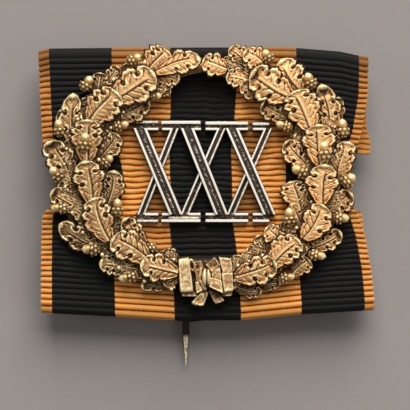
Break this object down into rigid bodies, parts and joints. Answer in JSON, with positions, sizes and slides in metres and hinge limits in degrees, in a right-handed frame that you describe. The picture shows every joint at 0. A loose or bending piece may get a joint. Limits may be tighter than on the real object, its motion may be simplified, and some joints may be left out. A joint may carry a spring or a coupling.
{
  "type": "military service badge",
  "caption": "Gilt oak wreath with a bow and silver numerals on a folded striped ribbon, with a pin behind.",
  "frame": {"origin": "centre of the bounding box on the surface that the badge lies on", "axes": "+Z out of the front, which lies face up, +X across the front to the right, +Y up the front"},
  "size_m": [0.0366, 0.035, 0.0081],
  "materials": {
    "ribbon": "ribbed silk ribbon, orange and black stripes",
    "gilt": "matte fire gilding, bright on the edges, dark in the recesses",
    "silver": "polished silver rails with a dark groove",
    "pin_metal": "pale drawn brass wire and plain brass sheet, slightly dull"
  },
  "bodies": {
    "root": {"ribbon": "ribbon", "oak_wreath": "gilt", "bow": "gilt", "numerals": "silver", "back_pin": "pin_metal"}
  },
  "joints": []
}
